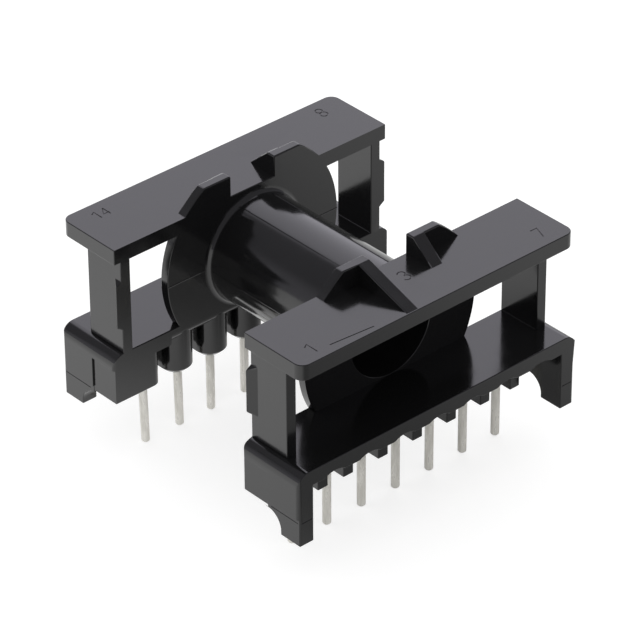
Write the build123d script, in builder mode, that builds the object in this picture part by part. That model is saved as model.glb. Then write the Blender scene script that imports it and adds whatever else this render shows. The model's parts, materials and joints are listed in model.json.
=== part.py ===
"""Bobbin for a power transformer with a round-leg core.

One black moulding carries a winding tube between two discs. At each disc a flange holds the back
of a core half: a top plate and a base platform, joined at their ends by columns. Under each
platform a row of posts holds seven round pins.

Millimetres. The origin is the centre of the bore, +Y runs along the bore, +X along the pin rows
and +Z up. The front, where pin 1 is, is at -Y.
"""
import os

from build123d import *

os.makedirs("parts", exist_ok=True)

# The spool
bore_dia = 11.6
bore_rim_radius = 0.2
tube_wall = 0.85
tube_root_radius = 0.65
disc_dia = 25.0
disc_thickness = 1.2
winding_width = 21.44

# The flanges, which start in the plane of the discs' inner faces
flange_depth = 9.07
core_space = 11.7

# Top plates, a little shorter than the base at both ends
plate_end_inset = 0.55
plate_thickness = 1.95
plate_corner_radius = 1.2

# Horns: what is left of a disc above its top plate, with a gusset behind each
horn_height = 2.55
notch_width = 6.3
gusset_width = 1.65
gusset_reach = 2.95
long_gusset_reach = 7.7

# Columns between plate and platform, with a wedge pad on the outer side of each
column_end_inset = 1.39
column_thickness = 1.35
column_depth = 5.7
pad_height = 0.75
pad_run = 1.1
pad_level = -2.85
pad_length = 6.3
pad_chamfer = 0.5

# Base platforms, which reach past the end pins and are rounded over at their ends
base_overhang = 5.21
base_thickness = 1.95
base_end_radius = 1.5
base_corner_radius = 0.5
base_inner_corner_radius = 0.45

# End skirts with a foot at the outer corner, each stepped back where the mould is split
skirt_wall = 2.1
foot_drop = 9.4
foot_step_drop = 5.75
foot_inset = 0.15
foot_chamfer = 0.3
arch_width = 2.07
arch_land = 0.02

# Posts, corner blocks and ribs under the platforms
post_drop = 6.6
post_chamfer = 0.55
post_depth = 3.9
block_length = 6.35
block_corner_radius = 1.0
block_chamfer = 0.3
block_end_inset = 0.4
block_face_inset = 0.08
rib_width = 1.45
rib_reach = 5.53
rib_chamfer = 0.25
first_rib_inset = 1.4
last_rib_inset = 0.54
lead_in_radius = 1.2
scallop_width = 3.0
scallop_height = 0.4

# Pins: round wire, coined square where it is pressed into the posts from below
pins_per_row = 7
pin_pitch = 5.08
pin_setback = 1.98
pin_dia = 1.0
pin_tip_chamfer = 0.2
pin_free_length = 8.15
pin_shank_width = 0.88
pin_seat = 4.0
pin_clearance = 0.01
pin_bend_start = 0.25
pin_bend_length = 1.1
pin_bend_radius = 1.2
# How far along X the bent pins stand off, below the bend and at the tip
pin_bends = {13: (0.3, 0.42), 14: (0.3, 0.5)}

# Planes, levels and lengths that follow from those sizes
pin_columns = [(i - (pins_per_row - 1) / 2) * pin_pitch for i in range(pins_per_row)]
first_rib = pin_columns[0] + first_rib_inset
last_rib = pin_columns[-1] - last_rib_inset
base_length = pin_columns[-1] - pin_columns[0] + 2 * base_overhang
base_end = base_length / 2
plate_length = base_length - 2 * plate_end_inset
column_face = base_end - column_end_inset
block_end = base_end - block_end_inset
flange_inner = winding_width / 2
flange_outer = flange_inner + flange_depth
flange_middle = flange_inner + flange_depth / 2
disc_outer = flange_inner + disc_thickness
plate_bottom = core_space / 2
plate_top = plate_bottom + plate_thickness
horn_top = plate_top + horn_height
platform_top = -core_space / 2
platform_bottom = platform_top - base_thickness
post_bottom = platform_top - post_drop
foot_step_level = platform_top - foot_step_drop
foot_bottom = platform_top - foot_drop
pin_row = flange_inner + pin_setback
row_spacing = 2 * pin_row
post_radius = pin_setback
block_back = flange_inner + post_depth
scallop_radius = (scallop_width**2 / 4 + scallop_height**2) / (2 * scallop_height)
post_height = post_drop - base_thickness / 2
foot_depth = flange_depth - post_depth - arch_width
arch_radius = arch_width - arch_land

# Outline of the rear base in plan
with BuildSketch() as base_plan:
    with Locations((0, flange_middle)):
        Rectangle(base_length, flange_depth)
    fillet(base_plan.vertices().group_by(Axis.Y)[-1], base_corner_radius)
    fillet(base_plan.vertices().group_by(Axis.Y)[0], base_inner_corner_radius)

# Wedge pads of the rear columns: chamfered blocks, cut away to nothing outwards
with BuildPart() as pads:
    with BuildSketch(Plane.XZ.offset(-flange_inner)) as pad_face:
        with BuildLine():
            Polyline(
                (column_face, pad_level),
                (column_face + pad_height, pad_level + pad_chamfer),
                (column_face + pad_height, pad_level + pad_length - pad_chamfer),
                (column_face, pad_level + pad_length),
                close=True,
            )
        make_face()
    extrude(amount=-pad_run)
    with BuildSketch(Plane.XY.offset(pad_level)) as pad_slope:
        with BuildLine():
            Polyline(
                (column_face + pad_height, flange_inner),
                (column_face + pad_height, flange_inner + pad_run),
                (column_face, flange_inner + pad_run),
                close=True,
            )
        make_face()
    extrude(amount=pad_length, mode=Mode.SUBTRACT)
    mirror(about=Plane.YZ)

# Corner blocks of the rear row, around its end pins
with BuildPart() as corner_blocks:
    with BuildSketch(Plane.XY.offset(post_bottom)) as block_plan:
        with Locations((block_end, flange_inner + block_face_inset)):
            Rectangle(block_length, post_depth - block_face_inset, align=(Align.MAX, Align.MIN))
        with Locations((-block_end, flange_inner + block_face_inset)):
            Rectangle(block_length, post_depth - block_face_inset, align=(Align.MIN, Align.MIN))
        inner_corners = block_plan.vertices().group_by(Axis.Y)[0].sort_by(Axis.X)[1:3]
        fillet(inner_corners, block_corner_radius)
    extrude(amount=post_height)
    chamfer(corner_blocks.edges().group_by(Axis.Z)[0], block_chamfer)

# Ribs of the rear row: one runs out from each post, and the end ones stand inside the end pins
with BuildPart() as ribs:
    with BuildSketch(Plane.XY.offset(post_bottom)) as rib_plan:
        with Locations(*[(x, pin_row) for x in [first_rib, *pin_columns[1:-1], last_rib]]):
            Rectangle(
                rib_width,
                flange_inner + rib_reach - pin_row,
                align=(Align.CENTER, Align.MIN),
            )
    extrude(amount=post_height)
    chamfer(ribs.edges().group_by(Axis.Z)[0], rib_chamfer)

with BuildPart() as coil_former:
    # Spool: the tube and both discs turned about the bore axis
    with BuildSketch(Plane.YZ) as spool_section:
        with Locations((0, bore_dia / 2)):
            Rectangle(2 * disc_outer, tube_wall, align=(Align.CENTER, Align.MIN))
        with Locations((flange_inner, bore_dia / 2), (-disc_outer, bore_dia / 2)):
            Rectangle(disc_thickness, (disc_dia - bore_dia) / 2, align=(Align.MIN, Align.MIN))
        rims, roots = spool_section.vertices().group_by(Axis.Y)[:2]
        fillet(roots, tube_root_radius)
        fillet(rims, bore_rim_radius)
    revolve(axis=Axis.Y)

    # The discs are cut flat above and below, with a notch between the two horns
    with BuildSketch(Plane.XZ) as disc_cuts:
        with Locations((0, horn_top)):
            Rectangle(disc_dia, disc_dia, align=(Align.CENTER, Align.MIN))
        with Locations((0, plate_top)):
            Rectangle(notch_width, disc_dia, align=(Align.CENTER, Align.MIN))
        with Locations((0, platform_bottom + lead_in_radius)):
            Rectangle(disc_dia, disc_dia, align=(Align.CENTER, Align.MAX))
    extrude(amount=flange_outer, both=True, mode=Mode.SUBTRACT)

    # Base of the rear flange: the platform, rounded over at both ends
    with BuildSketch(Plane.XZ.offset(-flange_inner)) as base_section:
        with Locations((0, platform_top)):
            Rectangle(base_length, base_thickness, align=(Align.CENTER, Align.MAX))
        fillet(base_section.vertices().group_by(Axis.Y)[-1], base_end_radius)
    extrude(amount=-flange_depth)

    # Shallow arcs in the platform's lower edge, one behind each post
    with BuildSketch(Plane.XZ.offset(-flange_outer)) as scallops:
        with Locations(*[(x, platform_bottom + scallop_height - scallop_radius) for x in pin_columns]):
            Circle(scallop_radius)
    extrude(amount=flange_outer - pin_row, mode=Mode.SUBTRACT)

    # Rounded lead-in for the wires, along the platform's lower inner edge
    with BuildSketch(Plane.YZ) as lead_in:
        with Locations((flange_inner, platform_bottom)):
            Rectangle(lead_in_radius, lead_in_radius, align=(Align.MIN, Align.MIN))
        with Locations((flange_inner + lead_in_radius, platform_bottom + lead_in_radius)):
            Circle(lead_in_radius, mode=Mode.SUBTRACT)
    extrude(amount=pin_columns[-2] + post_radius, both=True, mode=Mode.SUBTRACT)

    # Posts: half round towards the winding, with flat flanks behind
    with BuildSketch(Plane.XY.offset(post_bottom)) as posts:
        with Locations(*[(x, pin_row) for x in pin_columns[1:-1]]):
            Circle(post_radius)
            Rectangle(2 * post_radius, post_depth - post_radius, align=(Align.CENTER, Align.MIN))
    extrude(amount=post_height)
    chamfer(coil_former.edges().group_by(Axis.Z)[0], post_chamfer)
    add(corner_blocks.part)
    add(ribs.part)

    # End skirts, arched between block and foot
    for end in (-1, 1):
        with BuildSketch(Plane.YZ.offset(end * base_end)) as skirt:
            with BuildLine():
                Polyline(
                    (block_back, platform_bottom),
                    (block_back, post_bottom),
                    (flange_outer - foot_depth, post_bottom),
                    (flange_outer - foot_depth, foot_bottom),
                    (flange_outer, foot_bottom),
                    (flange_outer, platform_bottom),
                    close=True,
                )
            make_face()
            arch_corner = skirt.vertices().group_by(Axis.Y)[1].sort_by(Axis.X)[-1]
            fillet(arch_corner, arch_radius)
        extrude(amount=-end * skirt_wall)
        with BuildSketch(Plane.YZ.offset(end * base_end)) as foot_step:
            with Locations((block_back, foot_step_level)):
                Rectangle(flange_outer - block_back, foot_drop, align=(Align.MIN, Align.MAX))
        extrude(amount=-end * foot_inset, mode=Mode.SUBTRACT)
    chamfer(coil_former.edges().group_by(Axis.Z)[0], foot_chamfer)

    # Upright corners of the base, rounded in plan
    with BuildSketch(Plane.XY.offset(foot_bottom)) as base_corners:
        with Locations((0, flange_middle)):
            Rectangle(base_length, flange_depth)
        add(base_plan.sketch, mode=Mode.SUBTRACT)
    extrude(amount=foot_drop, mode=Mode.SUBTRACT)

    # Columns with their pads
    with BuildSketch(Plane.XY.offset(platform_top)) as columns:
        with Locations((column_face, flange_inner)):
            Rectangle(column_thickness, column_depth, align=(Align.MAX, Align.MIN))
        with Locations((-column_face, flange_inner)):
            Rectangle(column_thickness, column_depth, align=(Align.MIN, Align.MIN))
    extrude(amount=core_space)
    add(pads.part)

    # Top plate
    with BuildSketch(Plane.XY.offset(plate_bottom)) as plate:
        with Locations((0, flange_middle)):
            Rectangle(plate_length, flange_depth)
        fillet(plate.vertices().group_by(Axis.Y)[-1], plate_corner_radius)
    extrude(amount=plate_thickness)

    # Gussets behind the horns
    for side in (-1, 1):
        with BuildSketch(Plane.YZ.offset(side * notch_width / 2)) as gusset:
            with BuildLine():
                Polyline(
                    (disc_outer, plate_top),
                    (disc_outer, horn_top),
                    (disc_outer + gusset_reach, plate_top),
                    close=True,
                )
            make_face()
        extrude(amount=side * gusset_width)

    # The front flange is the same, seen the other way
    mirror(about=Plane.XZ)

    # Only the front gusset over pin 3 runs out to the plate's edge
    with BuildSketch(Plane.YZ.offset(-notch_width / 2)) as long_gusset:
        with BuildLine():
            Polyline(
                (-disc_outer, plate_top),
                (-disc_outer, horn_top),
                (-disc_outer - long_gusset_reach, plate_top),
                close=True,
            )
        make_face()
    extrude(amount=-gusset_width)

    # Holes for the pins' square shanks
    hole_width = pin_shank_width + 2 * pin_clearance
    with BuildSketch(Plane.XY.offset(post_bottom)) as pin_holes:
        with GridLocations(pin_pitch, row_spacing, pins_per_row, 2):
            Rectangle(hole_width, hole_width)
    extrude(amount=pin_seat, mode=Mode.SUBTRACT)

coil_former.part.label = "coil_former"
export_step(coil_former.part, "parts/coil_former.step")

# Pins 1 to 7 stand in the front row from -X to +X, pins 8 to 14 in the rear row from +X to -X
front_row = [(x, -pin_row) for x in pin_columns]
rear_row = [(x, pin_row) for x in reversed(pin_columns)]
for number, (x, y) in enumerate(front_row + rear_row, start=1):
    with BuildPart() as pin:
        with BuildSketch(Plane.XY.offset(post_bottom)) as pin_section:
            with Locations((x, y)):
                Circle(pin_dia / 2)
        if number in pin_bends:
            at_bend, at_tip = pin_bends[number]
            with BuildLine() as pin_axis:
                FilletPolyline(
                    (x, y, post_bottom),
                    (x, y, post_bottom - pin_bend_start),
                    (x + at_bend, y, post_bottom - pin_bend_length),
                    (x + at_tip, y, post_bottom - pin_free_length),
                    radius=pin_bend_radius,
                )
            sweep()
        else:
            extrude(amount=-pin_free_length)
        chamfer(pin.edges().group_by(Axis.Z)[0], pin_tip_chamfer)
        with BuildSketch(Plane.XY.offset(post_bottom)) as shank_section:
            with Locations((x, y)):
                Rectangle(pin_shank_width, pin_shank_width)
        extrude(amount=pin_seat)
    pin.part.label = f"pin_{number:02d}"
    export_step(pin.part, f"parts/{pin.part.label}.step")
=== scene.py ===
"""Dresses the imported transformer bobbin: its moulding, its pins, the studio and the camera.

Metres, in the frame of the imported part: the origin is the centre of the bore, +Y runs along the
bore, +X along the pin rows and +Z up. The front, where pin 1 is, is at -Y. The classes that work
on the meshes hold their sizes in millimetres, because a piece is scaled up while it is worked on.
"""
import json
import logging
import math
from dataclasses import dataclass, field
from enum import Enum
from itertools import combinations, product

import bmesh
import bpy
from mathutils import Matrix, Vector
from mathutils.geometry import intersect_point_line
from mathutils.kdtree import KDTree

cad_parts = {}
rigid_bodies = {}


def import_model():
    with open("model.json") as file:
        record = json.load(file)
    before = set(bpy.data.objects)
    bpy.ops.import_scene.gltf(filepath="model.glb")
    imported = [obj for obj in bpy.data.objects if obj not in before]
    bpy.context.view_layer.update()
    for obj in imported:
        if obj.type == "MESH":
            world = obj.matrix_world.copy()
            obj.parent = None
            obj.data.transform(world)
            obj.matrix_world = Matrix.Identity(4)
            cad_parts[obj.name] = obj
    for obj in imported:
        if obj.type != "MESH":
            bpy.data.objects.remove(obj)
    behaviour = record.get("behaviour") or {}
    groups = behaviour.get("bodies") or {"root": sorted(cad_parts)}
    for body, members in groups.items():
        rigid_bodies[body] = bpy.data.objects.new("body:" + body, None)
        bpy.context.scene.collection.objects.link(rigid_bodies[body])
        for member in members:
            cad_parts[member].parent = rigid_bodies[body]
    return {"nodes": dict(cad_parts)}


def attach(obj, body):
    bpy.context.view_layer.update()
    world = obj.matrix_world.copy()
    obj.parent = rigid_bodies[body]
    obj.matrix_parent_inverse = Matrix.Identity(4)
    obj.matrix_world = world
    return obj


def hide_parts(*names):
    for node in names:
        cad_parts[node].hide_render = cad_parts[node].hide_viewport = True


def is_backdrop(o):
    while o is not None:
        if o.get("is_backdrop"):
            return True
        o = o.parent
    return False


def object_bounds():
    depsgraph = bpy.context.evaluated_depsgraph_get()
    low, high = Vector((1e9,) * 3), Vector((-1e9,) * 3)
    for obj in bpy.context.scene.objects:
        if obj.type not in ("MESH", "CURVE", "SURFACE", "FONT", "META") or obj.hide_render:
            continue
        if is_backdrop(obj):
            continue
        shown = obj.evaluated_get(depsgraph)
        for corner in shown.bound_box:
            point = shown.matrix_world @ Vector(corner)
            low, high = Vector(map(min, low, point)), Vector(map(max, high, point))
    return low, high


Socket = bpy.types.NodeSocket
Colour = tuple[float, float, float]
Point = tuple[float, float, float]
Route = list[Point]
Stroke = list[tuple[float, float]]
# A point on a plane and the plane's normal
Plane = tuple[Point, Point]
# A face's normal and its area
Facing = tuple[Vector, float]
# The two ends of one side of a flat outline
Side = tuple[Vector, Vector]

MM = 0.001
WHITE = (1, 1, 1, 1)
# Nearly all of a noise pattern lies between these values
NOISE_MIDDLE = (0.3, 0.7)
# How finely a cord's section is rounded, as a curve's bevel resolution
CORD_RESOLUTION = 2
# Points of a cord that lie nearer than this are one, in millimetres
CORD_MERGE = 0.0001
# Products of distances below this are rounding errors of sides that only touch
TOUCHING = 1e-14
# Where the bevel modifier writes which faces are whole and which are roundings
FACE_STRENGTH = "__mod_weightednormals_faceweight"
# The rays that see the room itself and not its mirror image
DIRECT_RAYS = ("Is Camera Ray", "Is Transmission Ray")
log = logging.getLogger("bobbin")


def select_only(obj: bpy.types.Object) -> None:
    """Makes obj the one selected and active object.

    Args:
        obj: The object to work on next.
    """
    bpy.ops.object.select_all(action="DESELECT")
    obj.select_set(True)
    bpy.context.view_layer.objects.active = obj


def paint(piece: bpy.types.Object, material: bpy.types.Material) -> None:
    """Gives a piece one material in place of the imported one.

    Args:
        piece: The piece.
        material: The material.
    """
    piece.data.materials.clear()
    piece.data.materials.append(material)


class Sum(Enum):
    """What a node works out from two values."""

    PLUS = "ADD"
    TIMES = "MULTIPLY"
    LARGER = "MAXIMUM"


class Curve(Enum):
    """How a mapped value runs between the ends of its range."""

    STRAIGHT = "LINEAR"
    SOFT = "SMOOTHSTEP"


def sockets_of(node: bpy.types.Node) -> dict[str, Socket]:
    """Gives a node's sockets by their identifiers, for nodes whose sockets share names."""
    return {socket.identifier: socket for socket in (*node.inputs, *node.outputs)}


class Tree:
    """A node tree, with short calls to add and join its nodes."""

    def __init__(self, tree: bpy.types.NodeTree) -> None:
        """Takes the node tree of a material or a world."""
        self.tree = tree

    def add(self, kind: str, **values: object) -> bpy.types.Node:
        """Adds a node and sets its inputs.

        Args:
            kind: The node's type name.
            **values: Input names, with _ for a space, and their values.

        Returns:
            The new node.
        """
        node = self.tree.nodes.new(kind)
        for name, value in values.items():
            node.inputs[name.replace("_", " ")].default_value = value
        return node

    def join(self, source: Socket, target: Socket) -> None:
        """Links one socket to another."""
        self.tree.links.new(source, target)

    def worked(self, kind: Sum, first: Socket | float, second: Socket | float) -> Socket:
        """Works out one value from two.

        Args:
            kind: What is worked out.
            first: The first value, a socket or a number.
            second: The second value, a socket or a number.

        Returns:
            The socket with the result.
        """
        node = self.add("ShaderNodeMath")
        node.operation = kind.value
        for value, target in zip((first, second), node.inputs):
            if isinstance(value, Socket):
                self.join(value, target)
            else:
                target.default_value = value
        return node.outputs["Value"]

    def total(self, parts: list[Socket], base: float) -> Socket:
        """Adds some values to a base.

        Args:
            parts: The sockets with the values, one or more.
            base: The number that they are added to.

        Returns:
            The socket with the sum.
        """
        result = base
        for part in parts:
            result = self.worked(Sum.PLUS, result, part)
        return result

    def largest(self, node: bpy.types.Node, names: tuple[str, ...]) -> Socket:
        """Gives the largest of some outputs of one node.

        Args:
            node: The node.
            names: The names of its outputs, two or more.

        Returns:
            The socket with the largest value.
        """
        result = node.outputs[names[0]]
        for name in names[1:]:
            result = self.worked(Sum.LARGER, result, node.outputs[name])
        return result

    def along(self, point: Socket, direction: Vector) -> Socket:
        """Measures how far a point lies along a direction.

        Args:
            point: The socket with the point.
            direction: The direction, one long.

        Returns:
            The socket with the distance.
        """
        measure = self.add("ShaderNodeVectorMath")
        measure.operation = "DOT_PRODUCT"
        measure.inputs[1].default_value = direction
        self.join(point, measure.inputs[0])
        return measure.outputs["Value"]

    def ranged(
        self,
        source: Socket,
        given: tuple[float, float],
        wanted: tuple[float, float],
        curve: Curve = Curve.STRAIGHT,
    ) -> Socket:
        """Maps a value from one range to another and holds it at the ends.

        Args:
            source: The socket with the value.
            given: The range that the value comes in.
            wanted: The range that it is brought to.
            curve: How it runs between the ends.

        Returns:
            The socket with the mapped value.
        """
        ramp = self.add("ShaderNodeMapRange")
        ramp.interpolation_type = curve.value
        ramp.inputs["From Min"].default_value, ramp.inputs["From Max"].default_value = given
        ramp.inputs["To Min"].default_value, ramp.inputs["To Max"].default_value = wanted
        self.join(source, ramp.inputs["Value"])
        return ramp.outputs["Result"]

    def mixed(self, factor: Socket, first: Socket, second: Socket) -> Socket:
        """Mixes two values.

        Args:
            factor: The socket with the share of the second value.
            first: The socket with the first value.
            second: The socket with the second value.

        Returns:
            The socket with the mixture.
        """
        sockets = sockets_of(self.add("ShaderNodeMix"))
        self.join(factor, sockets["Factor_Float"])
        self.join(first, sockets["A_Float"])
        self.join(second, sockets["B_Float"])
        return sockets["Result_Float"]

    def either(
        self, factor: Socket, first: bpy.types.Node, second: bpy.types.Node
    ) -> bpy.types.Node:
        """Mixes two shaders.

        Args:
            factor: The socket with the share of the second shader.
            first: The node of the first shader.
            second: The node of the second shader.

        Returns:
            The node of the mixture.
        """
        mix = self.add("ShaderNodeMixShader")
        for source, target in zip((factor, first.outputs[0], second.outputs[0]), mix.inputs):
            self.join(source, target)
        return mix


class Nodes(Tree):
    """A new material's node tree, around its one shader."""

    def __init__(self, name: str) -> None:
        """Starts a material that has one shader and one output.

        Args:
            name: The material's name.
        """
        self.material = bpy.data.materials.new(name)
        self.material.use_nodes = True
        super().__init__(self.material.node_tree)
        self.shader = self.tree.nodes["Principled BSDF"]

    def place(self, stretch: Point = (1, 1, 1)) -> Socket:
        """Gives the point on the object that a pattern reads.

        Args:
            stretch: How much denser the pattern is along each axis.

        Returns:
            The socket that carries the point.
        """
        point = self.add("ShaderNodeTexCoord")
        mapping = self.add("ShaderNodeMapping", Scale=stretch)
        self.join(point.outputs["Object"], mapping.inputs["Vector"])
        return mapping.outputs["Vector"]

    def noise(self, point: Socket, scale: float, detail: float) -> Socket:
        """Adds a noise pattern.

        Args:
            point: The socket that the pattern reads its place from.
            scale: Cells per metre.
            detail: Octaves of finer noise.

        Returns:
            The socket with the noise, from 0 to 1.
        """
        noise = self.add("ShaderNodeTexNoise", Scale=scale, Detail=detail)
        self.join(point, noise.inputs["Vector"])
        return noise.outputs["Fac"]

    def blended(self, factor: Socket, first: Colour, second: Colour) -> Socket:
        """Mixes two colours.

        Args:
            factor: The socket with the share of the second colour.
            first: The first colour.
            second: The second colour.

        Returns:
            The socket with the mixture.
        """
        mix = self.add("ShaderNodeMix")
        mix.data_type = "RGBA"
        sockets = sockets_of(mix)
        sockets["A_Color"].default_value = (*first, 1)
        sockets["B_Color"].default_value = (*second, 1)
        self.join(factor, sockets["Factor_Float"])
        return sockets["Result_Color"]

    def bump(self, height: Socket, depth: float, under: Socket | None = None) -> Socket:
        """Adds a bump that stands up to depth metres high.

        Args:
            height: The socket with the height, from 0 to 1.
            depth: The height of 1, in metres.
            under: A coarser bump that this one lies on.

        Returns:
            The socket with the bumped normal.
        """
        bump = self.add("ShaderNodeBump", Strength=1.0, Distance=depth)
        self.join(height, bump.inputs["Height"])
        if under is not None:
            self.join(under, bump.inputs["Normal"])
        return bump.outputs["Normal"]


@dataclass(frozen=True)
class BlackPlastic:
    """Moulded black plastic: glossy, a little uneven in sheen, with faint sinks and a fine skin.

    Each scale is a pattern's cells per metre, each detail its octaves and each depth in metres.
    """

    colour: Colour = (0.006, 0.006, 0.0063)
    ior: float = 1.55
    gloss: tuple[float, float] = (0.10, 0.18)
    gloss_scale: float = 260.0
    gloss_detail: float = 4.0
    sink_scale: float = 90.0
    sink_detail: float = 1.0
    sink_depth: float = 0.000006
    skin_scale: float = 2600.0
    skin_detail: float = 2.0
    skin_depth: float = 0.0000012

    def material(self) -> bpy.types.Material:
        """Returns the plastic as a new material."""
        nodes = Nodes("black_plastic")
        nodes.shader.inputs["IOR"].default_value = self.ior
        nodes.shader.inputs["Base Color"].default_value = (*self.colour, 1)
        point = nodes.place()
        uneven = nodes.noise(point, self.gloss_scale, self.gloss_detail)
        gloss = nodes.ranged(uneven, NOISE_MIDDLE, self.gloss)
        nodes.join(gloss, nodes.shader.inputs["Roughness"])
        sinks = nodes.noise(point, self.sink_scale, self.sink_detail)
        skin = nodes.noise(point, self.skin_scale, self.skin_detail)
        surface = nodes.bump(skin, self.skin_depth, nodes.bump(sinks, self.sink_depth))
        nodes.join(surface, nodes.shader.inputs["Normal"])
        return nodes.material


@dataclass(frozen=True)
class TinnedWire:
    """Hot-tinned wire: pale warm metal, with soft runs along its length.

    The scale is the runs' cells per metre, their detail is in octaves and their depth in metres.
    """

    metallic: float = 0.25
    colour: Colour = (0.96, 0.94, 0.88)
    dull_colour: Colour = (0.74, 0.72, 0.66)
    gloss: tuple[float, float] = (0.22, 0.42)
    run_stretch: Point = (1, 1, 0.18)
    run_scale: float = 2200.0
    run_detail: float = 3.0
    run_depth: float = 0.000008

    def material(self) -> bpy.types.Material:
        """Returns the tinned wire as a new material."""
        nodes = Nodes("tinned_wire")
        nodes.shader.inputs["Metallic"].default_value = self.metallic
        runs = nodes.noise(nodes.place(self.run_stretch), self.run_scale, self.run_detail)
        dulled = nodes.ranged(runs, NOISE_MIDDLE, (0, 1))
        colour = nodes.blended(dulled, self.colour, self.dull_colour)
        nodes.join(colour, nodes.shader.inputs["Base Color"])
        gloss = nodes.ranged(runs, NOISE_MIDDLE, self.gloss)
        nodes.join(gloss, nodes.shader.inputs["Roughness"])
        nodes.join(nodes.bump(runs, self.run_depth), nodes.shader.inputs["Normal"])
        return nodes.material


class Rounding(Enum):
    """How far the kinds of edge are rounded, in millimetres."""

    EDGE = 0.11
    HORN = 0.20
    SMALL_CHAMFER = 0.05
    POST_CHAMFER = 0.15

    @classmethod
    def widest(cls) -> float:
        """Returns the largest of them."""
        return max(kind.value for kind in cls)

    def weight(self) -> float:
        """Returns it as a share of the widest."""
        return self.value / self.widest()


def crossing(first: Side, second: Side) -> float | None:
    """Tells where one side of a flat outline crosses another.

    Args:
        first: The ends of one side.
        second: The ends of the other.

    Returns:
        The share of the first side before the crossing, or None where they don't cross.
    """
    (start, end), (left, right) = first, second
    before = (right - left).cross(start - left)
    after = (right - left).cross(end - left)
    near = (end - start).cross(left - start)
    far = (end - start).cross(right - start)
    if before * after > -TOUCHING or near * far > -TOUCHING:
        return None
    return before / (before - after)


def flat_axes(normal: Vector) -> tuple[int, int]:
    """Gives the two axes that show a face's outline best.

    Args:
        normal: The face's normal.

    Returns:
        The indexes of the two axes.
    """
    across = max(range(3), key=lambda index: abs(normal[index]))
    return (across + 1) % 3, (across + 2) % 3


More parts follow.
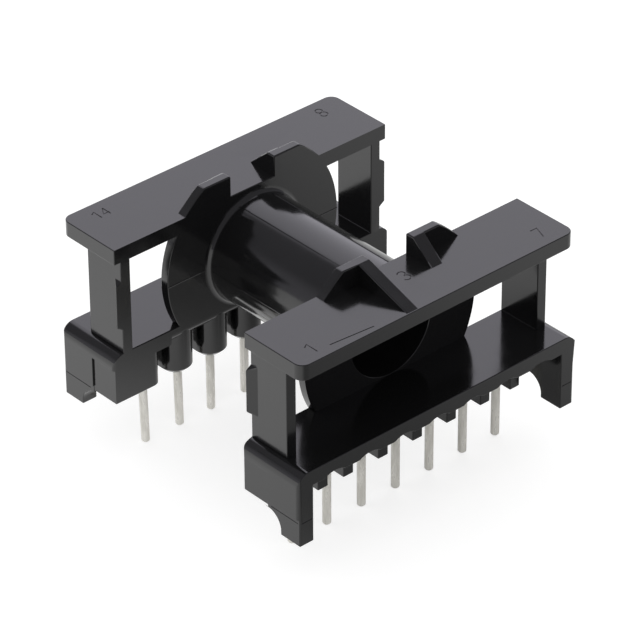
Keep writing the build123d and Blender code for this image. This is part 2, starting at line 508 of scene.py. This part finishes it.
@dataclass
class Work:
    """Mesh steps that the moulding and the pins share.

    Attributes:
        merge_distance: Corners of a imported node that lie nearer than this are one.
        cut_slack: Corners this near a plane of a cut count as lying on it.
        flat_angle: The widest angle, in radians, between the parts of one flat face.
        edge_angle: The narrowest angle between two faces that makes an edge to be rounded.
        corner_angle: Rounded edges that meet at less than this leave the shorter one sharp.
        chamfer_slopes: The downward part of a chamfer face's normal, at the least and the most.
        chamfer_top: The level that the chamfers of posts, blocks and feet lie below.
        post_chamfer_height: Chamfers taller than this belong to the posts.
        horn_foot: The level above which the edges belong to the horns.
        segments: How many faces a rounding has across.
        ease_reach: How near a fold an edge is rounded less.
        ease_factor: How much less.
        least_rounding: Edges that would be rounded less than this stay sharp.
        whole_angle: Whole faces within this angle of the nearest one are shaded as one.
        strip_angle: A face turned further from every whole face beside it follows the roundings.
        fan_angle: Roundings' faces within this angle of such a face are shaded with it.
    """

    merge_distance: float = 0.001
    cut_slack: float = 0.0005
    flat_angle: float = 0.002
    edge_angle: float = math.radians(28)
    corner_angle: float = math.radians(40)
    chamfer_slopes: tuple[float, float] = (0.55, 0.9)
    chamfer_top: float = -11.0
    post_chamfer_height: float = 0.4
    horn_foot: float = 7.85
    segments: int = 3
    ease_reach: float = 0.3
    ease_factor: float = 0.6
    least_rounding: float = 0.015
    whole_angle: float = math.radians(17.8)
    strip_angle: float = math.radians(60)
    fan_angle: float = math.radians(50)

    def copy(self, node: bpy.types.Object, name: str, cuts: tuple[Plane, ...] = ()) -> bpy.types.Object:
        """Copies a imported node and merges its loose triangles.

        Args:
            node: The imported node, which stays as it is.
            name: The copy's name.
            cuts: Planes, each a point and a normal, that part its faces with holes.

        Returns:
            The copy in millimetres, with whole flat faces.
        """
        piece = node.copy()
        piece.data = node.data.copy()
        piece.name = name
        piece.parent = None
        bpy.context.scene.collection.objects.link(piece)
        self.scale(piece, 1 / MM)
        bpy.ops.mesh.customdata_custom_splitnormals_clear()
        bpy.ops.object.mode_set(mode="EDIT")
        bpy.ops.mesh.select_mode(type="EDGE")
        bpy.ops.mesh.select_all(action="SELECT")
        bpy.ops.mesh.remove_doubles(threshold=self.merge_distance)
        for spot, across in cuts:
            bpy.ops.mesh.select_all(action="SELECT")
            bpy.ops.mesh.bisect(plane_co=spot, plane_no=across, threshold=self.cut_slack)
            bpy.ops.mesh.mark_seam()
        bpy.ops.mesh.select_all(action="SELECT")
        bpy.ops.mesh.dissolve_limited(angle_limit=self.flat_angle, delimit={"SEAM"})
        bpy.ops.mesh.mark_seam(clear=True)
        bpy.ops.object.mode_set(mode="OBJECT")
        return piece

    def scale(self, piece: bpy.types.Object, factor: float) -> None:
        """Scales a piece's mesh about the origin.

        Args:
            piece: The piece.
            factor: The factor.
        """
        select_only(piece)
        piece.scale = (factor, factor, factor)
        bpy.ops.object.transform_apply(location=False, rotation=False, scale=True)

    def kind(self, edge: bmesh.types.BMEdge) -> Rounding | None:
        """Tells how an edge is rounded.

        Args:
            edge: An edge with a face on each side.

        Returns:
            The kind of rounding, or None for an inner or a gentle edge.
        """
        if edge.calc_face_angle_signed(0.0) < self.edge_angle:
            return None
        if min(vert.co.z for vert in edge.verts) > self.horn_foot:
            return Rounding.HORN
        low, high = self.chamfer_slopes
        for face in edge.link_faces:
            levels = [vert.co.z for vert in face.verts]
            if min(levels) < self.chamfer_top and low < -face.normal.z < high:
                tall = max(levels) - min(levels) > self.post_chamfer_height
                return Rounding.POST_CHAMFER if tall else Rounding.SMALL_CHAMFER
        return Rounding.EDGE

    def weigh_edges(self, piece: bpy.types.Object) -> None:
        """Sets how far each outer edge of a piece is to be rounded.

        Args:
            piece: The piece, with whole flat faces.
        """
        shape = bmesh.new()
        shape.from_mesh(piece.data)
        weight = shape.edges.layers.float.new("bevel_weight_edge")
        for edge in shape.edges:
            kind = self.kind(edge)
            edge[weight] = kind.weight() if kind else 0
        for vert in shape.verts:
            rounded = [edge for edge in vert.link_edges if edge[weight] > 0]
            for first, second in combinations(rounded, 2):
                along = first.other_vert(vert).co - vert.co
                if along.angle(second.other_vert(vert).co - vert.co) < self.corner_angle:
                    min(first, second, key=lambda edge: edge.calc_length())[weight] = 0
        shape.to_mesh(piece.data)
        shape.free()

    def folds(self, mesh: bpy.types.Mesh) -> list[Vector]:
        """Finds where the outlines of a mesh's faces cross themselves.

        Args:
            mesh: The mesh, with its edges rounded.

        Returns:
            The points where they cross.
        """
        shape = bmesh.new()
        shape.from_mesh(mesh)
        spots = []
        for face in shape.faces:
            flat = flat_axes(face.normal)
            corners = [Vector([vert.co[axis] for axis in flat]) for vert in face.verts]
            sides = list(zip(corners, corners[1:] + corners[:1]))
            for first, second in combinations(range(len(sides)), 2):
                share = crossing(sides[first], sides[second])
                if share is not None:
                    start, end = face.verts[first].co, face.verts[(first + 1) % len(sides)].co
                    spots.append(start.lerp(end, share))
        shape.free()
        return spots

    def ease(self, piece: bpy.types.Object, spots: list[Vector]) -> int:
        """Sets the edges near some points to be rounded less.

        Args:
            piece: The piece, with its edges weighed.
            spots: The points.

        Returns:
            How many edges changed.
        """
        tree = KDTree(len(spots))
        for index, spot in enumerate(spots):
            tree.insert(spot, index)
        tree.balance()
        changed = 0
        weights = piece.data.attributes["bevel_weight_edge"].data
        for edge in piece.data.edges:
            weight = weights[edge.index]
            start, end = (piece.data.vertices[index].co for index in edge.vertices)
            if weight.value > 0 and self.is_near(start, end, tree):
                eased = weight.value * self.ease_factor
                weight.value = eased if eased * Rounding.widest() > self.least_rounding else 0
                changed += 1
        return changed

    def is_near(self, start: Vector, end: Vector, tree: KDTree) -> bool:
        """Tells whether an edge passes near any of some points.

        Args:
            start: One end of the edge.
            end: The other end.
            tree: The points.

        Returns:
            True where one of them lies within the reach of the easing.
        """
        reach = self.ease_reach + (end - start).length / 2
        for spot, _, _ in tree.find_range((start + end) / 2, reach):
            share = min(1.0, max(0.0, intersect_point_line(spot, start, end)[1]))
            if (start.lerp(end, share) - spot).length < self.ease_reach:
                return True
        return False

    def round_edges(self, piece: bpy.types.Object) -> None:
        """Rounds the weighed edges, and rounds less where a face would fold over.

        Args:
            piece: The piece, with its edges weighed.
        """
        last = False
        while True:
            whole = piece.data.copy()
            select_only(piece)
            bevel = piece.modifiers.new("edges", "BEVEL")
            bevel.width = Rounding.widest()
            bevel.segments = self.segments
            bevel.limit_method = "WEIGHT"
            bevel.use_clamp_overlap = False
            bevel.miter_outer = "MITER_ARC"
            bevel.face_strength_mode = "FSTR_ALL"
            bpy.ops.object.modifier_apply(modifier=bevel.name)
            spots = self.folds(piece.data)
            if last or not spots:
                break
            piece.data = whole
            last = self.ease(piece, spots) == 0

    def corner_normal(self, normal: Vector, whole: list[Facing], strips: list[Facing]) -> Vector:
        """Works out the normal that a face has at one of its corners.

        Args:
            normal: The face's own normal.
            whole: The whole faces at that corner, which decide it where one is near enough.
            strips: The roundings' faces at that corner.

        Returns:
            The corner's normal.
        """
        lead = max((other for other, _ in whole), key=normal.dot, default=None)
        near, angle = whole, self.whole_angle
        if lead is None or normal.dot(lead) < math.cos(self.strip_angle):
            lead, near, angle = normal, strips, self.fan_angle
        total = Vector()
        for other, area in near:
            if lead.dot(other) >= math.cos(angle):
                total += other * area
        return total.normalized()

    def shade(self, piece: bpy.types.Object) -> None:
        """Shades the roundings softly and keeps the faces between them flat.

        Args:
            piece: The piece, with its edges rounded.
        """
        select_only(piece)
        bpy.ops.object.shade_smooth()
        mesh = piece.data
        strength = mesh.attributes[FACE_STRENGTH].data
        whole = [[] for _ in mesh.vertices]
        strips = [[] for _ in mesh.vertices]
        for face in mesh.polygons:
            beside = whole if strength[face.index].value > 0 else strips
            for vert in face.vertices:
                beside[vert].append((face.normal.copy(), face.area))
        normals = []
        for face in mesh.polygons:
            for vert in face.vertices:
                normals.append(self.corner_normal(face.normal, whole[vert], strips[vert]))
        mesh.normals_split_custom_set(normals)

    def finish(self, piece: bpy.types.Object, name: str) -> None:
        """Rounds the weighed edges, shades them and brings the piece to metres.

        Args:
            piece: The piece, with its edges weighed.
            name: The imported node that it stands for.
        """
        self.round_edges(piece)
        self.shade(piece)
        self.scale(piece, MM)
        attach(piece, "root")
        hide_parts(name)


def cord(points: Route, radius: float, name: str) -> bpy.types.Object:
    """Makes a round closed cord through some points, as a mesh.

    Args:
        points: The points of its centre line, in millimetres.
        radius: Its radius.
        name: Its name.

    Returns:
        The cord.
    """
    curve = bpy.data.curves.new(name, "CURVE")
    curve.dimensions = "3D"
    line = curve.splines.new("POLY")
    line.points.add(len(points) - 1)
    for point, place in zip(line.points, points):
        point.co = (*place, 1)
    curve.bevel_depth = radius
    curve.bevel_resolution = CORD_RESOLUTION
    curve.use_fill_caps = True
    wire = bpy.data.objects.new(name, curve)
    bpy.context.scene.collection.objects.link(wire)
    select_only(wire)
    bpy.ops.object.convert(target="MESH")
    bpy.ops.object.mode_set(mode="EDIT")
    bpy.ops.mesh.select_all(action="SELECT")
    bpy.ops.mesh.remove_doubles(threshold=CORD_MERGE)
    bpy.ops.mesh.normals_make_consistent(inside=False)
    bpy.ops.object.mode_set(mode="OBJECT")
    return bpy.context.active_object


def groove(piece: bpy.types.Object, points: Route, radius: float) -> None:
    """Cuts a round groove into a piece.

    Args:
        piece: The piece.
        points: The points of the groove's centre line, in millimetres.
        radius: Its radius.
    """
    wire = cord(points, radius, "groove")
    select_only(piece)
    cut = piece.modifiers.new("groove", "BOOLEAN")
    cut.operation = "DIFFERENCE"
    cut.solver = "EXACT"
    cut.object = wire
    bpy.ops.object.modifier_apply(modifier=cut.name)
    bpy.data.objects.remove(wire)


def arc(
    centre: tuple[float, float], radii: tuple[float, float], start: float, end: float, steps: int = 14
) -> Stroke:
    """Gives the points of an elliptic arc.

    Args:
        centre: The ellipse's centre.
        radii: Its half width and half height.
        start: The angle of the first point, in degrees.
        end: The angle of the last point, in degrees.
        steps: How many chords the arc has.

    Returns:
        The points from start to end.
    """
    angles = [math.radians(start + (end - start) * step / steps) for step in range(steps + 1)]
    return [(centre[0] + radii[0] * math.cos(a), centre[1] + radii[1] * math.sin(a)) for a in angles]


# The figures as strokes in a cell one wide and 1.75 high, from its lower left corner
FIGURES: dict[str, list[Stroke]] = {
    "1": [[(0.0, 1.37), (0.57, 1.75), (0.57, 0.0)]],
    "3": [arc((0.5, 1.32), (0.45, 0.43), 160, -90), arc((0.5, 0.45), (0.5, 0.45), 90, -160)],
    "4": [[(0.98, 0.52), (0.0, 0.52), (0.82, 1.75)], [(0.82, 1.75), (0.82, 0.0)]],
    "7": [[(0.0, 1.75), (0.95, 1.75), (0.3, 0.0)]],
    "8": [
        arc((0.5, 1.33), (0.42, 0.42), -90, 90),
        arc((0.5, 1.33), (0.42, 0.42), 90, 270),
        arc((0.5, 0.45), (0.47, 0.46), -90, 90),
        arc((0.5, 0.45), (0.47, 0.46), 90, 270),
    ],
}


@dataclass(frozen=True)
class Mark:
    """A figure on a top plate: its cell's lower left corner and the cell's width."""

    figure: str
    place: tuple[float, float]
    size: float = 1.0


@dataclass
class Engraving:
    """The plain pin numbers in the top plates, and the line beside one of them.

    Attributes:
        level: The level of the plates.
        radius: The radius of the strokes.
        lift: How far their middle lies above the plates.
        marks: The figures.
        line: The ends of the line.
    """

    level: float
    radius: float = 0.08
    lift: float = 0.015
    marks: tuple[Mark, ...] = (
        Mark("1", (-16.98, 16.87), 0.84),
        Mark("4", (-15.93, 16.87), 0.84),
        Mark("8", (15.72, 16.62)),
        Mark("1", (-17.13, -18.53)),
        Mark("7", (16.17, -18.32)),
        Mark("3", (-0.53, -14.80)),
    )
    line: tuple[tuple[float, float], tuple[float, float]] = ((-14.79, -18.49), (-9.01, -18.99))

    def strokes(self) -> list[Stroke]:
        """Returns every stroke in its place on the plates."""
        placed = [list(self.line)]
        for mark in self.marks:
            left, foot = mark.place
            for stroke in FIGURES[mark.figure]:
                placed.append([(left + x * mark.size, foot + y * mark.size) for x, y in stroke])
        return placed

    def cut(self, piece: bpy.types.Object) -> None:
        """Cuts the strokes into a piece.

        Args:
            piece: The moulding.
        """
        for stroke in self.strokes():
            groove(piece, [(x, y, self.level + self.lift) for x, y in stroke], self.radius)


@dataclass
class FootLines:
    """The fine lines round the feet, level with the undersides of the posts.

    Attributes:
        level: The level of the lines.
        radius: Their radius, which is how deep they are cut.
        end_face: How far out along X the feet's end faces are.
        side_face: How far out along Y their other outer faces are.
        end_reach: From where to where along Y the lines in the end faces run.
        side_reach: From where to where along X the lines in the others run.
    """

    level: float = -12.05
    radius: float = 0.07
    end_face: float = 20.30
    side_face: float = 19.79
    end_reach: tuple[float, float] = (15.2, 19.5)
    side_reach: tuple[float, float] = (18.6, 20.05)

    def routes(self) -> list[Route]:
        """Returns the ends of every line."""
        lines = []
        for end, side in product((-1, 1), repeat=2):
            x, y = end * self.end_face, side * self.side_face
            lines.append([(x, side * reach, self.level) for reach in self.end_reach])
            lines.append([(end * reach, y, self.level) for reach in self.side_reach])
        return lines

    def cut(self, piece: bpy.types.Object) -> None:
        """Cuts the lines into a piece.

        Args:
            piece: The moulding.
        """
        for route in self.routes():
            groove(piece, route, self.radius)


@dataclass
class MouldLines:
    """Fine raised lines where the mould's parts met.

    Attributes:
        radius: Their radius.
        sunk: How far their middle lies inside the surface.
        tube_radius: The tube's outer radius.
        tube_half: Half the length of the lines along the tube.
        tube_bearings: Where they lie, in degrees from the tube's top to either side.
        disc_level: The level of the lines across the discs.
        disc_reach: From where to where along X they run.
        disc_face: How far out along Y the discs' inner faces are.
        block_level: The level of the lines on the corner blocks.
        block_reach: From where to where along X they run.
        block_face: How far out along Y the blocks' inner faces are.
        column_face: How far out along X the columns' inner faces are.
        column_level: The level of the columns' feet.
        column_reach: From where to where along Y the lines at the columns' feet run.
    """

    radius: float = 0.08
    sunk: float = 0.02
    tube_radius: float = 6.65
    tube_half: float = 10.0
    tube_bearings: tuple[float, ...] = (19.5, 92.5)
    disc_level: float = -0.2
    disc_reach: tuple[float, float] = (6.9, 12.45)
    disc_face: float = 10.72
    block_level: float = -7.7
    block_reach: tuple[float, float] = (16.6, 19.9)
    block_face: float = 10.8
    column_face: float = 17.71
    column_level: float = -5.85
    column_reach: tuple[float, float] = (10.9, 16.3)

    def routes(self) -> list[Route]:
        """Returns the ends of every line."""
        lines = []
        for bearing in self.tube_bearings:
            angle = math.radians(bearing)
            across = (self.tube_radius - self.sunk) * math.sin(angle)
            level = (self.tube_radius - self.sunk) * math.cos(angle)
            for x in (-across, across):
                lines.append([(x, -self.tube_half, level), (x, self.tube_half, level)])
        for side, end in product((1, -1), repeat=2):
            y = side * (self.disc_face + self.sunk)
            lines.append([(end * reach, y, self.disc_level) for reach in self.disc_reach])
            y = side * (self.block_face + self.sunk)
            lines.append([(end * reach, y, self.block_level) for reach in self.block_reach])
            x = end * (self.column_face + self.sunk)
            level = self.column_level - self.sunk
            lines.append([(x, side * reach, level) for reach in self.column_reach])
        return lines

    def add(self, piece: bpy.types.Object) -> None:
        """Joins the lines to a piece.

        Args:
            piece: The moulding.
        """
        wires = [cord(route, self.radius, "mould_line") for route in self.routes()]
        select_only(piece)
        for wire in wires:
            wire.select_set(True)
        bpy.ops.object.join()


@dataclass
class Moulding:
    """The coil former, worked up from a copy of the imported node.

    Attributes:
        node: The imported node.
        work: The mesh steps that it shares with the pins.
        finish: Its plastic.
        plate_top: The level of the top plates.
        cuts: Planes that part the faces with holes, such as those of discs and platforms.
        block_top: The level of the corner blocks' tops.
        block_back: How far out along Y the blocks reach.
        block_ends: How far out along X their ends are, and their chamfers' lower edges.
        block_shift: How far both are brought out.
        slack: How near a corner has to lie to these places.
    """

    node: bpy.types.Object
    work: Work = field(default_factory=Work)
    finish: BlackPlastic = field(default_factory=BlackPlastic)
    plate_top: float = 7.8
    cuts: tuple[Plane, ...] = (
        ((0, 0, 0), (1, 0, 0)),
        ((0, 0, 0), (0, 0, 1)),
        ((0, 12.7, 0), (0, 1, 0)),
        ((0, -12.7, 0), (0, 1, 0)),
    )
    block_top: float = -7.8
    block_back: float = 14.62
    block_ends: tuple[float, float] = (20.05, 19.75)
    block_shift: float = 0.2
    slack: float = 0.005

    def widen_blocks(self, piece: bpy.types.Object) -> None:
        """Brings the corner blocks' ends out, until they are almost level with the skirts.

        Args:
            piece: The moulding.
        """
        for vert in piece.data.vertices:
            x, y, z = vert.co
            if z < self.block_top + self.slack and abs(y) < self.block_back + self.slack:
                if any(abs(abs(x) - end) < self.slack for end in self.block_ends):
                    vert.co.x += math.copysign(self.block_shift, x)

    def build(self) -> bpy.types.Object:
        """Returns the finished moulding."""
        piece = self.work.copy(self.node, "moulding", self.cuts)
        self.widen_blocks(piece)
        self.work.weigh_edges(piece)
        Engraving(self.plate_top).cut(piece)
        FootLines().cut(piece)
        MouldLines().add(piece)
        self.work.finish(piece, self.node.name)
        paint(piece, self.finish.material())
        return piece


@dataclass
class Pins:
    """The tinned pins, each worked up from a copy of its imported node.

    Attributes:
        nodes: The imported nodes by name.
        work: The mesh steps that they share with the moulding.
        finish: Their tin.
    """

    nodes: dict[str, bpy.types.Object]
    work: Work = field(default_factory=Work)
    finish: TinnedWire = field(default_factory=TinnedWire)

    def build(self) -> list[bpy.types.Object]:
        """Returns the finished pins."""
        tin = self.finish.material()
        pieces = []
        for name, node in self.nodes.items():
            piece = self.work.copy(node, f"tinned_{name}")
            self.work.weigh_edges(piece)
            self.work.finish(piece, node.name)
            paint(piece, tin)
            pieces.append(piece)
        return pieces


@dataclass(frozen=True)
class Panel:
    """A bright part of the room, as the glossy faces mirror it.

    Attributes:
        azimuth: The bearing of its middle, in degrees from +X.
        elevation: How high its middle is, in degrees.
        half_angle: How far it reaches from its middle, in degrees.
        edge: Half the width of its soft edge, in degrees.
        strength: How bright it is.
    """

    azimuth: float
    elevation: float
    half_angle: float
    edge: float
    strength: float

    def direction(self) -> Vector:
        """Returns the direction of its middle."""
        azimuth = math.radians(self.azimuth)
        elevation = math.radians(self.elevation)
        across = math.cos(elevation)
        return Vector((across * math.cos(azimuth), across * math.sin(azimuth), math.sin(elevation)))


@dataclass(frozen=True)
class PaintedShadeFade:
    """How the floor that the glossy faces mirror grows brighter along a bearing, as painted shade and
    light: darker under and in front of the object, where its shadow falls, and brighter away from it.

    Attributes:
        bearing: The bearing, in degrees from +X.
        reach: From where to where along it, in metres.
        gain: How much brighter it is at the end.
    """

    bearing: float
    reach: tuple[float, float]
    gain: float

    def direction(self) -> Vector:
        """Returns the direction that it runs in."""
        bearing = math.radians(self.bearing)
        return Vector((math.cos(bearing), math.sin(bearing), 0))


@dataclass
class Studio:
    """A pale floor in a white room, with soft panels that the glossy faces mirror.

    Attributes:
        floor_level: The level that the object stands on, in metres.
        floor_half: Half the floor's width, in metres.
        floor_roughness: How rough the floor is.
        floor_colour: How pale the floor is.
        floor_glow: How much it glows for the camera, which makes it show white.
        mirrored_colour: How pale it is to the glossy faces.
        mirrored_floor: How bright it is to them where the painted shade and light add nothing to it.
        painted_shade_fades: The painted shade and light on it: where it grows brighter to them away
            from the object's shadow.
        room_light: How bright the room is as a light.
        room_mirrored: How bright it is to the glossy faces where no panel adds to it.
        mirrored_tint: The colour of the room to them.
        panels: The panels.
    """

    floor_level: float
    floor_half: float = 3.0
    floor_roughness: float = 0.9
    floor_colour: float = 0.52
    floor_glow: float = 0.66
    mirrored_colour: float = 0.30
    mirrored_floor: float = 0.42
    # Painted shadow and light on the mirrored floor: darker under and in front of the object, brighter
    # away from it
    painted_shade_fades: tuple[PaintedShadeFade, ...] = (
        PaintedShadeFade(bearing=140, reach=(-15 * MM, 14 * MM), gain=0.78),
        PaintedShadeFade(bearing=140, reach=(10 * MM, 50 * MM), gain=0.18),
        PaintedShadeFade(bearing=0, reach=(5 * MM, 55 * MM), gain=0.42),
    )
    room_light: float = 0.95
    room_mirrored: float = 0.32
    mirrored_tint: Colour = (0.985, 0.965, 1.06)
    panels: tuple[Panel, ...] = (
        Panel(azimuth=53, elevation=31, half_angle=29, edge=5, strength=1.27),
        Panel(azimuth=160, elevation=5, half_angle=26, edge=12, strength=0.35),
    )

    def build(self) -> None:
        """Builds the floor and the room."""
        self.floor()
        self.room()

    def floor(self) -> None:
        """Builds the floor, which shows white and keeps the object's shadow."""
        bpy.ops.mesh.primitive_plane_add(size=2 * self.floor_half, location=(0, 0, self.floor_level))
        floor = bpy.context.active_object
        floor.name = "floor"
        bpy.ops.object.transform_apply(location=True, rotation=True, scale=True)
        nodes = Nodes("floor")
        nodes.shader.inputs["Roughness"].default_value = self.floor_roughness
        nodes.shader.inputs["Specular IOR Level"].default_value = 0.0
        nodes.shader.inputs["Emission Color"].default_value = WHITE
        rays = nodes.add("ShaderNodeLightPath")
        mirrored = rays.outputs["Is Glossy Ray"]
        seen = nodes.worked(Sum.TIMES, nodes.largest(rays, DIRECT_RAYS), self.floor_glow)
        # To glossy rays the floor glows with painted shade and light, darker where the object's shadow
        # falls
        glow = nodes.mixed(mirrored, seen, self.mirrored_glow_and_painted_shade(nodes))
        nodes.join(glow, nodes.shader.inputs["Emission Strength"])
        tone = nodes.ranged(mirrored, (0, 1), (self.floor_colour, self.mirrored_colour))
        nodes.join(tone, nodes.shader.inputs["Base Color"])
        floor.data.materials.append(nodes.material)
        floor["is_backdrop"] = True

    def mirrored_glow_and_painted_shade(self, nodes: Nodes) -> Socket:
        """Adds up how much the floor glows to the glossy faces, apart from its colour: an even glow
        plus painted shade and light, darker where the object's shadow falls.

        Args:
            nodes: The floor's node tree.

        Returns:
            The socket with the glow and the painted shade in each place.
        """
        point = nodes.place()
        parts = []
        # Each fade paints shade and light on the mirrored floor, darker towards the object's shadow
        for painted_fade in self.painted_shade_fades:
            along = nodes.along(point, painted_fade.direction())
            parts.append(nodes.ranged(along, painted_fade.reach, (0, painted_fade.gain), Curve.SOFT))
        return nodes.total(parts, self.mirrored_floor - self.mirrored_colour)

    def room(self) -> None:
        """Fills the room with soft light, shows its walls white and mirrors its panels."""
        world = bpy.data.worlds.new("room")
        world.use_nodes = True
        bpy.context.scene.world = world
        nodes = Tree(world.node_tree)
        light = nodes.tree.nodes["Background"]
        light.inputs["Color"].default_value = WHITE
        light.inputs["Strength"].default_value = self.room_light
        mirrored = nodes.add("ShaderNodeBackground", Color=(*self.mirrored_tint, 1))
        nodes.join(self.mirrored_strength(nodes), mirrored.inputs["Strength"])
        white = nodes.add("ShaderNodeBackground", Color=WHITE, Strength=1.0)
        rays = nodes.add("ShaderNodeLightPath")
        glossy = nodes.either(rays.outputs["Is Glossy Ray"], light, mirrored)
        seen = nodes.either(nodes.largest(rays, DIRECT_RAYS), glossy, white)
        nodes.join(seen.outputs[0], nodes.tree.nodes["World Output"].inputs["Surface"])

    def mirrored_strength(self, nodes: Tree) -> Socket:
        """Adds up what the room's panels show in a mirror.

        Args:
            nodes: The world's node tree.

        Returns:
            The socket with the brightness in each direction.
        """
        point = nodes.add("ShaderNodeTexCoord").outputs["Generated"]
        parts = []
        for panel in self.panels:
            facing = nodes.along(point, panel.direction())
            outside = math.cos(math.radians(panel.half_angle + panel.edge))
            inside = math.cos(math.radians(panel.half_angle - panel.edge))
            parts.append(nodes.ranged(facing, (outside, inside), (0, panel.strength), Curve.SOFT))
        return nodes.total(parts, self.room_mirrored)


@dataclass(frozen=True)
class Viewpoint:
    """The photograph's camera, as fitted to the pins and the straight edges.

    Attributes:
        azimuth: The camera's turn about Z, in radians.
        elevation: How far it looks down, in radians.
        roll: Its turn about its own axis, in radians.
        distance: How far it stands from the point that it looks at, in metres.
        aim: That point.
        lens: Its focal length, in millimetres.
        sensor: Its sensor's width, in millimetres.
        clip: The nearest and the furthest that it sees, in metres.
    """

    azimuth: float = math.radians(-41.619)
    elevation: float = math.radians(33.383)
    roll: float = math.radians(-0.325)
    distance: float = 484.05 * MM
    aim: Point = (5.034 * MM, 5.341 * MM, -9.515 * MM)
    lens: float = 241.92
    sensor: float = 36.0
    clip: tuple[float, float] = (0.01, 20.0)

    def build(self) -> None:
        """Places the camera and makes it the scene's own."""
        turn = (
            Matrix.Rotation(self.azimuth, 4, "Z")
            @ Matrix.Rotation(math.pi / 2 - self.elevation, 4, "X")
            @ Matrix.Rotation(self.roll, 4, "Z")
        )
        back = turn.to_3x3() @ Vector((0, 0, 1))
        place = Vector(self.aim) + back * self.distance
        bpy.ops.object.camera_add(location=place, rotation=turn.to_euler())
        camera = bpy.context.active_object
        camera.name = "camera"
        camera.data.lens = self.lens
        camera.data.sensor_width = self.sensor
        camera.data.clip_start, camera.data.clip_end = self.clip
        bpy.context.scene.camera = camera


def clear_scene() -> None:
    """Removes what a new file starts with."""
    for obj in list(bpy.data.objects):
        bpy.data.objects.remove(obj)


def main() -> None:
    """Builds the object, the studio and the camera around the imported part."""
    logging.basicConfig(level=logging.INFO, format="%(message)s")
    clear_scene()
    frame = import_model()
    cad_box = [list(corner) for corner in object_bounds()]
    bpy.ops.object.select_all(action="DESELECT")
    bpy.context.scene.view_settings.view_transform = "Standard"

    nodes = frame["nodes"]
    moulding = Moulding(nodes["coil_former"]).build()
    log.info("%s: %d faces", moulding.name, len(moulding.data.polygons))
    pins = {name: node for name, node in nodes.items() if name.startswith("pin_")}
    for pin in Pins(pins).build():
        log.info("%s: %d faces", pin.name, len(pin.data.polygons))
    Studio(floor_level=cad_box[0][2]).build()
    Viewpoint().build()


if __name__ == "__main__":
    main()
